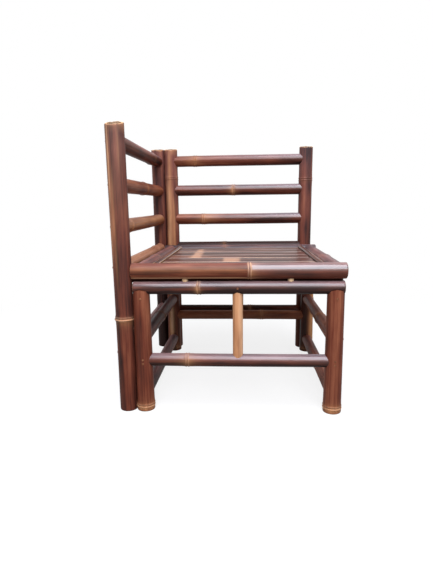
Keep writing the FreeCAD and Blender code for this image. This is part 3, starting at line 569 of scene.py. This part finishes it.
class Culm:
    """A bamboo pole, read from its node in the frame."""

    def __init__(self, name, axis, ends):
        points = np.array([vertex.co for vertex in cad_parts[name].data.vertices])
        low, high = points.min(0), points.max(0)
        self.name, self.axis, self.ends = name, axis, ends
        self.across = ((axis + 1) % 3, (axis + 2) % 3)
        self.centre = (low + high) / 2
        self.low, self.high = low[axis], high[axis]
        self.length = self.high - self.low
        offsets = points[:, self.across] - self.centre[list(self.across)]
        reach = np.hypot(offsets[:, 0], offsets[:, 1])
        self.radius = reach.max() - (0.0 if name in NO_NODES else NODE_RISE)
        self.wall = LEG_WALL if name in LEGS else CULM_WALL
        crests = np.sort(points[reach > reach.max() - CREST_DEPTH, axis])
        groups = np.split(crests, np.flatnonzero(np.diff(crests) > NODE_REACH) + 1)
        self.nodes = [] if name in NO_NODES else [group.mean() for group in groups]
        self.grow()

    def grow(self):
        """The culm's own unevenness: waves in its skin, a slight bend and the tan halo at each node."""
        chance = np.random.default_rng(zlib.crc32(self.name.encode()))
        self.seed = chance.uniform(*SEED_SPREAD)
        self.growth = chance.choice((-1, 1)) if self.axis != UPRIGHT else 1
        self.finish = {**PLAIN_FINISH, **FINISHES.get(self.name, {})}
        self.centre[0] += self.finish["shift"]
        self.waves = [
            (turns, chance.uniform(*WAVE_PACE), chance.uniform(0, math.tau)) for turns in WAVE_TURNS]
        self.bend = (LEG_BEND if self.name in LEGS else POLE_BEND) * chance.uniform(*BEND_SPREAD)
        self.bend_way = chance.uniform(0, math.tau)
        self.halos = [self.finish["halo"] or (
            chance.uniform(*HALO_STRENGTH), chance.uniform(*HALO_BEFORE), chance.uniform(*HALO_AFTER))
            for _ in self.nodes]

    def share_along(self, along):
        return np.clip((along - self.low) / self.length, 0, 1)

    def graded(self, along, ends):
        """A value that runs evenly from the low end to the high end."""
        return ends[0] + (ends[1] - ends[0]) * self.share_along(along)

    def facing_up(self, angle):
        up = {ALONG_X: math.pi / 2, ALONG_Y: 0.0}[self.axis]
        return np.cos(angle - up)

    def wave(self, along, angle):
        total = 0
        for turns, pace, shift in self.waves:
            total = total + np.sin(turns * angle + pace * along + shift) / turns
        return total / 2

    def drift(self, along):
        """Sideways offset of the axis."""
        size = self.bend * np.sin(math.pi * self.share_along(along))
        return size * math.cos(self.bend_way), size * math.sin(self.bend_way)

    def skin(self, along, angle):
        """Radius of the skin."""
        radius = self.radius + UNEVEN * self.wave(along, angle)
        if self.name in LEGS:
            radius = radius + LEG_TAPER * (0.5 - (along - self.low) / self.length)
        for spot in self.nodes:
            d = (along - spot) * self.growth
            for height, distance, width in NODE_PROFILE:
                radius = radius + height * bell(d - distance, width)
            radius = radius + self.finish["collar"] * bell(d, COLLAR_WIDTH)
        return radius

    def paint(self, along, angle):
        """How pale the stain is, and how strong the pale lines are."""
        pale = np.zeros_like(along)
        ring = np.zeros_like(along)
        ragged = RAGGED * self.wave(along * 3, angle * 2)
        for spot, (strength, before, after) in zip(self.nodes, self.halos):
            d = (along - spot) * self.growth + ragged
            fade = np.where(d > 0, np.exp(-d / after), np.exp(d / before))
            pale = np.maximum(pale, strength * fade)
            second = SECOND_LINE * bell(d - NODE_LINE_GAP, SECOND_BAND)
            lines = np.maximum(bell(d, self.finish["band"]), second)
            lines = lines * self.finish["rings"]
            lines = lines * (1 - LINE_UNEVEN + LINE_UNEVEN * self.wave(along * 2, angle))
            if self.axis != UPRIGHT:
                upper = soft_step(self.facing_up(angle), LINE_SOFT)
                lines = lines * (LINE_BELOW + (1 - LINE_BELOW) * upper)
            ring = np.maximum(ring, lines)
        for tip, reach in zip((along - self.low, self.high - along), self.finish["tips"]):
            if reach:
                pale = np.maximum(pale, TIP_PALE * bell(tip + TIP_RAGGED * ragged, reach))
        for centre, half, low, high, strength in self.finish["streaks"]:
            turn = (np.degrees(angle) - centre + 180) % 360 - 180
            stretch = soft_step(along - low, STREAK_SOFT) * soft_step(high - along, STREAK_SOFT)
            pale = np.maximum(pale, strength * bell(turn, half) * stretch)
            ring = np.maximum(ring, max(strength - 1, 0) * bell(turn, BARE_SHARE * half) * stretch)
        return np.clip(pale, 0, 1), np.clip(ring, 0, 1)

    def tone(self, along, angle):
        tone = self.graded(along, self.finish["tone"])
        # A lying culm gets painted light on its top and painted shade below, by its painted_shading
        return tone if self.axis == UPRIGHT else tone + self.finish["painted_shading"] * self.facing_up(angle)

    def gloss(self, along, angle):
        """How glossy the varnish is: most on the upper side of a lying culm, less where it is worn."""
        if self.axis == UPRIGHT:
            return np.full(along.shape, UPRIGHT_GLOSS)
        upper = soft_step(self.facing_up(angle), GLOSS_SOFT)
        top_gloss = self.graded(along, self.finish["gloss"] or LYING_GLOSS[self.axis])
        gloss = UNDER_GLOSS + (top_gloss - UNDER_GLOSS) * upper * (1 - self.dirt_and_crease_shade(along, angle))
        return gloss * (1 - WORN_GLOSS_LOSS * self.worn(along))

    def worn(self, along):
        """Where the varnish is dull."""
        if self.finish["worn"] is None:
            return np.zeros(along.shape)
        low, high = self.finish["worn"]
        return soft_step(along - low, WORN_SOFT) * soft_step(high - along, WORN_SOFT)

    def dirt_and_crease_shade(self, along, angle):
        """Painted shade in the narrow gap between two poles that lie on one another."""
        if not self.finish["crevice"]:
            return np.zeros(along.shape)
        return soft_step(self.facing_up(angle) * self.finish["crevice"] - CREVICE_FROM, CREVICE_SOFT)

    def painted_highlight(self, along, angle):
        """How strong the painted highlight is on the upper side of a lying culm, or on the upper part of a
        post.
        """
        if self.name in POSTS:
            return POST_PAINTED_HIGHLIGHT * ((along - self.low) / self.length) ** 2
        if self.axis == UPRIGHT:
            return np.zeros(along.shape)
        painted_highlight = self.graded(along, self.finish["painted_highlight"]) * (1 - WORN_HIGHLIGHT_LOSS * self.worn(along))
        return painted_highlight * soft_step(self.facing_up(angle) - HIGHLIGHT_FROM, HIGHLIGHT_SOFT)

    def seat_on(self, mate, radius, angle, outward):
        """Where the end of this culm, at that radius, meets the skin of the pole it sits on."""
        free = ({ALONG_X, ALONG_Y, UPRIGHT} - {self.axis, mate.axis}).pop()
        side, other = np.cos(angle), np.sin(angle)
        if free == self.across[1]:
            side, other = other, side
        u = radius * side + self.centre[free] - mate.centre[free]
        ear = EAR_DROP + EAR_ARCH * other ** 2
        depth = np.sqrt(np.maximum((mate.radius - SADDLE_BITE) ** 2 - u ** 2, ear ** 2))
        return mate.centre[self.axis] - outward * depth

    def sawn_rings(self, outward, angle):
        """Rings of a sawn end, over the rim and down the bore, as (along, radius, cut, inside)."""
        bore = (self.radius - self.wall) * np.ones_like(angle)
        flat = self.high if outward > 0 else self.low
        deep = min([BORE_DEPTH] + [abs(flat - spot) - NODE_WALL for spot in self.nodes])
        slant = self.finish["slant"] if outward > 0 else 0.0
        tip = flat + slant * (np.sin(angle) + CHIPPED * self.wave(flat, CHIP_TURNS * angle))
        edge = tip - outward * RIM_BEVEL
        skin = self.skin(edge, angle)
        return [
            (edge, skin, 0, 0),
            (tip - outward * RIM_BREAK * RIM_BEVEL, skin - RIM_BREAK * RIM_BEVEL, 1, 0),
            (tip, skin - RIM_BEVEL, 1, 0),
            (tip, bore + BORE_CHAMFER, 1, 0),
            (tip - outward * CHAMFER_DEPTH, bore, 1, LIP_SHADE),
            (tip - outward * BORE_MIDWAY * deep, bore, 1, BORE_SHADE),
            (tip - outward * deep, bore, 1, 1),
            (tip - outward * deep * DOME_RISE, bore * DOME_WIDTH, 1, 1),
        ]

    def saddle_rings(self, mate, outward, angle):
        """Rings of an end that sits on a pole, from the skin's edge to the bore, listed alike."""
        full = np.ones_like(angle)
        bore = (self.radius - self.wall) * full
        guess = self.seat_on(mate, self.radius * full, angle, outward)
        skin = self.skin(guess, angle)
        rings = []
        for step in range(SADDLE_STEPS):
            radius = skin - (skin - bore) * step / (SADDLE_STEPS - 1)
            seat = self.seat_on(mate, radius, angle, outward)
            rings.append((seat, radius, 1 if step else 0, SADDLE_SHADE))
        inner = (mate.centre[self.axis] - outward * (mate.radius + SADDLE_BORE)) * full
        return rings + [(inner, bore, 1, 1), (inner, bore * DOME_WIDTH, 1, 1)]

    def end_rings(self, end, outward, angle, culms):
        if end == "cut":
            return self.sawn_rings(outward, angle)
        return self.saddle_rings(culms[end], outward, angle)

    def skin_rings(self, low_edge, high_edge, angle):
        """Rings of the skin between its edges: eased from each edge, then flat, and fine at the nodes."""
        first = low_edge.max() + SADDLE_MARGIN
        last = high_edge.min() - SADDLE_MARGIN
        count = max(2, round((last - first) / RING_STEP))
        spots = list(np.linspace(first, last, count))
        for node in self.nodes:
            spots = [spot for spot in spots if abs(spot - node) > NODE_REACH]
            spots += list(node + np.arange(-NODE_REACH, NODE_REACH + NODE_FINE_STEP, NODE_FINE_STEP))
        spots = sorted(spot for spot in spots if first <= spot <= last)
        flat = [spot * np.ones_like(angle) for spot in spots]
        shares = np.arange(1, SADDLE_RINGS) / SADDLE_RINGS
        lead_in = [low_edge + (flat[0] - low_edge) * share for share in shares]
        lead_out = [flat[-1] + (high_edge - flat[-1]) * share for share in shares]
        return [(along, self.skin(along, angle), 0, 0) for along in lead_in + flat + lead_out]

    def build(self, culms, skin_material, end_material):
        angle = np.arange(SIDES) / SIDES * math.tau
        low_end = self.end_rings(self.ends[0], -1, angle, culms)
        high_end = self.end_rings(self.ends[1], 1, angle, culms)
        rings = low_end[::-1] + self.skin_rings(low_end[0][0], high_end[0][0], angle) + high_end
        along = np.array([ring[0] for ring in rings])
        radius = np.array([ring[1] for ring in rings])
        cut = np.array([ring[2] for ring in rings])
        inside = np.array([np.full(SIDES, ring[3], float) for ring in rings])
        turn = np.broadcast_to(angle, along.shape)
        pale, ring_line = self.paint(along, turn)
        drift_x, drift_y = self.drift(along)
        spots = np.stack([
            radius * np.cos(turn) + drift_x,
            radius * np.sin(turn) + drift_y,
            along - self.low,
        ], -1)
        caps = np.array([spots[0].mean(0), spots[-1].mean(0)])
        values = {
            "pale": pale,
            "ring": ring_line,
            "inside": inside,
            "tone": self.tone(along, turn),
            "gloss": self.gloss(along, turn),
            "painted_highlight": self.painted_highlight(along, turn),
            "dirt_and_crease_shade": self.dirt_and_crease_shade(along, turn),
            "seed": np.full(along.shape, self.seed),
        }
        origin = self.centre.copy()
        origin[self.axis] = self.low
        piece = lathe_piece(self.name, spots, caps, cut, values)
        piece.matrix_world = local_matrix(self.axis, Vector(origin))
        piece.data.materials.append(skin_material)
        piece.data.materials.append(end_material)
        return piece


def ring_quads(count, sides):
    """Quads between neighbouring rings of points, as (ring, side, next side, corners)."""
    for ring in range(count - 1):
        here, above = ring * sides, (ring + 1) * sides
        for side in range(sides):
            after = (side + 1) % sides
            yield ring, side, after, (here + side, here + after, above + after, above + side)


def lathe_piece(name, spots, caps, cut, values):
    """A closed mesh from rings of points, with a point in the middle of each end ring."""
    count, sides = spots.shape[:2]
    points = np.concatenate([spots.reshape(-1, 3), caps])
    faces = []
    face_cut = []
    for ring, _, _, corners in ring_quads(count, sides):
        faces.append(corners)
        face_cut.append(int(cut[ring] and cut[ring + 1]))
    bottom, top = count * sides, count * sides + 1
    for side in range(sides):
        after = (side + 1) % sides
        faces.append((bottom, after, side))
        faces.append((top, (count - 1) * sides + side, (count - 1) * sides + after))
        face_cut += [1, 1]
    return mesh_piece(name, points, faces, face_cut, values)


def mesh_piece(name, points, faces, face_slots, values):
    """An object from points and faces, with point values for its materials to read."""
    mesh = bpy.data.meshes.new("shape." + name)
    mesh.from_pydata([tuple(point) for point in points], [], faces)
    mesh.polygons.foreach_set("material_index", np.array(face_slots, np.int32))
    for key, grid in values.items():
        flat = np.zeros(len(points), np.float32)
        flat[:grid.size] = grid.reshape(-1)
        flat[grid.size:] = flat[grid.size - 1]
        mesh.attributes.new(key, "FLOAT", "POINT").data.foreach_set("value", flat)
    mesh.shade_smooth()
    mesh.set_sharp_from_angle(angle=SMOOTH_ANGLE)
    piece = bpy.data.objects.new("look." + name, mesh)
    bpy.context.scene.collection.objects.link(piece)
    return piece


def stand_for(piece, node):
    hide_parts(node)
    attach(piece, "root")


def split_loop(thick, edge):
    """Section of a split, skin side first: share of its half width, height, and whether it is skin."""
    share = np.linspace(-1, 1, SPLIT_ACROSS + 1)
    crown = edge + (thick - edge) * (1 - share ** 2)
    hollow = SPLIT_HOLLOW * (1 - share ** 2)
    is_skin = np.concatenate([np.ones_like(share), np.zeros_like(share)])
    return np.concatenate([share, share[::-1]]), np.concatenate([crown, hollow[::-1]]), is_skin


def split_piece(name, axis, edge, crown_up, lines, gloss, sides):
    """A split strip: crowned skin side, raw sides and a hollowed inner side, from the box of its node."""
    low, high = (np.array(corner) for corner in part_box(name))
    low[axis] -= SHADE_FILL_REACH.get(name, 0.0)
    chance = np.random.default_rng(zlib.crc32(name.encode()))
    phase = chance.uniform(0, math.tau, 3)
    seed = chance.uniform(*SEED_SPREAD)
    width_axis = ALONG_Y if axis == ALONG_X else ALONG_X
    width = high[width_axis] - low[width_axis]
    thick = high[UPRIGHT] - low[UPRIGHT]
    length = high[axis] - low[axis]

    along = np.linspace(0, length, round(length / SPLIT_STEP) + 1)
    share, section, is_skin = split_loop(thick, edge)
    level = share * width / 2
    sway = sum(size * np.sin(along * pace + turn) for (size, pace), turn in zip(SPLIT_SWAYS, phase))
    lift = -SPLIT_DIP * (1 + np.sin(along * SPLIT_DIP_PACE + phase[-1]))
    across = level[None, :] + sway[:, None]
    height = section[None, :] + lift[:, None] * is_skin[None, :]
    edge_pale_and_highlight = lines[0] * (share < -SPLIT_RIM) + lines[1] * (share > SPLIT_RIM)
    edge_pale_and_highlight = np.broadcast_to(edge_pale_and_highlight * is_skin, across.shape)
    pale = np.zeros(across.shape)
    for middle, half, lean in SLAT_PATCHES.get(name, ()):
        d = along[:, None] - (middle - low[axis]) - (lean * level)[None, :]
        pale = np.maximum(pale, soft_step(half - np.abs(d), PATCH_SOFT) * is_skin[None, :])
        height = height + PATCH_RISE * bell(d, half * PATCH_WIDTH) * is_skin[None, :]

    centre = (low + high) / 2
    rise = (height if crown_up else thick - height) + low[UPRIGHT] - centre[UPRIGHT]
    centre[axis] = low[axis]
    sideways = [across, rise] if axis == ALONG_X else [rise, across]
    spots = np.stack(sideways + [np.broadcast_to(along[:, None], across.shape)], -1)
    if (axis == ALONG_X) == crown_up:
        spots, pale, edge_pale_and_highlight = (grid[:, ::-1] for grid in (spots, pale, edge_pale_and_highlight))
        is_skin = is_skin[::-1]
    values = {
        "pale": pale,
        "edge_pale_and_highlight": edge_pale_and_highlight,
        "seed": np.full(pale.shape, seed),
        "inside": np.zeros_like(pale),
        "gloss": np.broadcast_to(np.interp(along, (0, length), gloss)[:, None], pale.shape),
    }
    count, around = pale.shape
    faces = []
    slots = []
    for _, side, after, corners in ring_quads(count, around):
        faces.append(corners)
        slots.append(0 if is_skin[side] and is_skin[after] else 1)
    faces.append(tuple(range(around))[::-1])
    faces.append(tuple(range((count - 1) * around, count * around)))
    slots += [1, 1]
    piece = mesh_piece(name, spots.reshape(-1, 3), faces, slots, values)
    piece.matrix_world = local_matrix(axis, Vector(centre))
    piece.data.materials.append(SLAT)
    piece.data.materials.append(sides)
    return piece


# Materials
DARK = culm_material("dark_bamboo", tint(44, 26, 23), tint(104, 53, 38), tint(150, 92, 66),
                     tint(204, 147, 98), tint(222, 178, 144), 1.0)
TAN = culm_material("pale_bamboo", tint(138, 86, 56), tint(194, 138, 98), tint(216, 164, 120),
                    tint(230, 184, 144), tint(150, 98, 62), 0.5)
RAIL = culm_material("light_bamboo", tint(112, 68, 50), tint(166, 112, 86), tint(190, 138, 108),
                     tint(196, 148, 122), tint(206, 156, 124), 0.6)
CUT = cut_material("cut_bamboo")
SLAT = slat_material("split_bamboo")
WOOD = wood_material("raw_wood", tint(186, 146, 104), tint(224, 192, 150), tint(236, 212, 176))
PEG = wood_material("stained_wood", tint(92, 54, 36), tint(140, 92, 64), tint(172, 122, 90))
# Near black wood for the tie dowels, as painted shade in the narrow gaps between leg and post where they
# sit
TIE_SHADE_WOOD = wood_material("shade_dark_wood", tint(40, 20, 15), tint(66, 36, 27), tint(90, 54, 40))

# Poles
culms = {name: Culm(name, axis, ends) for axis, group in CULM_SETS for name, ends in group.items()}
for name, culm in culms.items():
    skin = TAN if name in STRUT_TAN else RAIL if name in RAIL_TAN else DARK
    stand_for(culm.build(culms, skin, CUT), name)

# Kinds of split: thickness at the edges, whether the skin is on top, strength of the pale lines along the
# two edges, partly pale raw edge and partly painted highlight, gloss at the low and high end, and the
# material of the raw sides
SLAT_KIND = {"axis": ALONG_X, "edge": 0.005, "crown_up": True, "lines": (0.75, 0.0), "gloss": (0.22, 0.42),
             "sides": CUT}
CLAMP = {"axis": ALONG_Y, "edge": 0.003, "crown_up": True, "gloss": (0.3, 0.3)}
CLAMP_KINDS = {
    "left": {**CLAMP, "lines": (0.25, 0.7), "sides": CUT},
    "right": {**CLAMP, "lines": (0.0, 0.45), "sides": SLAT},
}
UNDER_SEAT = {"crown_up": False, "lines": (0.0, 0.0), "gloss": (0.1, 0.1), "sides": SLAT}
LEDGER_KIND = {**UNDER_SEAT, "axis": ALONG_Y, "edge": 0.005}
BATTEN_KIND = {**UNDER_SEAT, "axis": ALONG_X, "edge": 0.010}

splits = [(name, SLAT_KIND) for name in sorted(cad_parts) if name.startswith("seat_slat_")]
for side in FLANKS:
    splits += [(f"clamp_strip_{side}", CLAMP_KINDS[side]), (f"ledger_{side}", LEDGER_KIND)]
splits += [(f"seat_batten_{end}", BATTEN_KIND) for end in ENDS]
for name, kind in splits:
    stand_for(split_piece(name, **kind), name)

# Dowels and pegs keep their own shape
DOWEL_MATERIALS = {"seat_dowels": WOOD, "tie_dowels": TIE_SHADE_WOOD}
for name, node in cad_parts.items():
    if name.endswith(("_dowels", "_pegs")):
        node.data.materials.clear()
        node.data.materials.append(DOWEL_MATERIALS.get(name, PEG))

# Stage: floor in metres, light from all round by height, and lamps
FLOOR_HALF = 6.0
FLOOR_GREY = (0.18, 0.18, 0.18, 1)
FLOOR_GLOW = 0.82
WHITE_FROM = 0.7
WHITE_AT = 1.7
SKY = ((0.35, (0.10, 0.09, 0.09, 1)), (0.55, (0.26, 0.26, 0.27, 1)), (1.0, (0.36, 0.36, 0.38, 1)))
# Name, place, target, width, height, power and colour
LAMPS = (
    ("softbox", (0.12, -1.66, 2.92), (0.05, 0.0, 0.42), 2.1, 3.7, 205, (0.91, 0.92, 1.0)),
    ("front", (0.9, -2.6, 1.2), (0.0, 0.0, 0.4), 1.6, 1.2, 6, (1.0, 0.98, 0.96)),
    ("side", (-1.9, 0.5, 1.0), (0.0, 0.0, 0.5), 0.3, 1.6, 4, (1.0, 1.0, 1.0)),
)


def stage_shader():
    """A pale floor that keeps the shadow near the chair and runs out to plain white."""
    material, g = new_material("floor")
    seen = g.seen()
    reach = g.node("VectorMath", operation="LENGTH")
    g.feed(reach.inputs[0], g.place())
    far = g.spread(reach.outputs["Value"], WHITE_FROM, WHITE_AT, kind="SMOOTHSTEP")
    diffuse = g.node("BsdfDiffuse")
    diffuse.inputs["Color"].default_value = FLOOR_GREY
    glow = g.node("Emission")
    g.feed(glow.inputs["Strength"], g.math("MULTIPLY", seen, FLOOR_GLOW))
    near = g.node("AddShader")
    g.feed(near.inputs[0], diffuse.outputs[0])
    g.feed(near.inputs[1], glow.outputs[0])
    white = g.node("Emission")
    g.feed(white.inputs["Strength"], seen)
    blend = g.node("MixShader")
    g.feed(blend.inputs[0], g.math("MULTIPLY", far, seen))
    g.feed(blend.inputs[1], near.outputs[0])
    g.feed(blend.inputs[2], white.outputs[0])
    g.surface(blend)
    return material


def make_floor():
    mesh = bpy.data.meshes.new("floor")
    corners = [(x * FLOOR_HALF, y * FLOOR_HALF, 0) for x, y in ((-1, -1), (1, -1), (1, 1), (-1, 1))]
    mesh.from_pydata(corners, [], [(0, 1, 2, 3)])
    mesh.materials.append(stage_shader())
    floor = bpy.data.objects.new("floor", mesh)
    bpy.context.scene.collection.objects.link(floor)


def make_world():
    """White where it is seen; as light, brighter from above than from the sides."""
    world = bpy.data.worlds.new("studio")
    world.use_nodes = True
    g = Graph(world.node_tree)
    split = g.node("SeparateXYZ")
    g.feed(split.inputs[0], g.node("TexCoord").outputs["Generated"])
    glow = g.ramp(g.spread(split.outputs["Z"], -1, 1), *SKY)
    background = g.node("Background")
    g.feed(background.inputs["Color"], g.mix(g.seen(), glow, WHITE))
    output = g.node("OutputWorld")
    g.feed(output.inputs["Surface"], background.outputs[0])
    bpy.context.scene.world = world


def area_lamp(name, spot, target, width, height, power, colour):
    data = bpy.data.lights.new(name, "AREA")
    data.shape = "RECTANGLE"
    data.size = width
    data.size_y = height
    data.energy = power
    data.color = colour
    lamp = bpy.data.objects.new(name, data)
    lamp.location = spot
    lamp.rotation_euler = (Vector(target) - Vector(spot)).to_track_quat("-Z", "Y").to_euler()
    bpy.context.scene.collection.objects.link(lamp)


def make_camera():
    yaw, pitch, roll = (math.radians(value) for value in (CAMERA_YAW, CAMERA_PITCH, CAMERA_ROLL))
    heading = Vector((-math.sin(yaw), math.cos(yaw), 0))
    right = Vector((math.cos(yaw), math.sin(yaw), 0))
    forward = heading * math.cos(pitch) - Vector((0, 0, 1)) * math.sin(pitch)
    up = heading * math.sin(pitch) + Vector((0, 0, 1)) * math.cos(pitch)
    side = right * math.cos(roll) + up * math.sin(roll)
    top = up * math.cos(roll) - right * math.sin(roll)
    data = bpy.data.cameras.new("camera")
    data.sensor_width = SENSOR
    data.lens = FOCAL_PIXELS / PICTURE_HEIGHT * SENSOR
    camera = bpy.data.objects.new("camera", data)
    turn = Matrix((side, top, -forward)).transposed()
    camera.matrix_world = Matrix.Translation(CAMERA_SPOT) @ turn.to_4x4()
    bpy.context.scene.collection.objects.link(camera)
    bpy.context.scene.camera = camera


make_floor()
make_world()
make_camera()
for lamp in LAMPS:
    area_lamp(*lamp)
bpy.context.scene.view_settings.view_transform = "Standard"
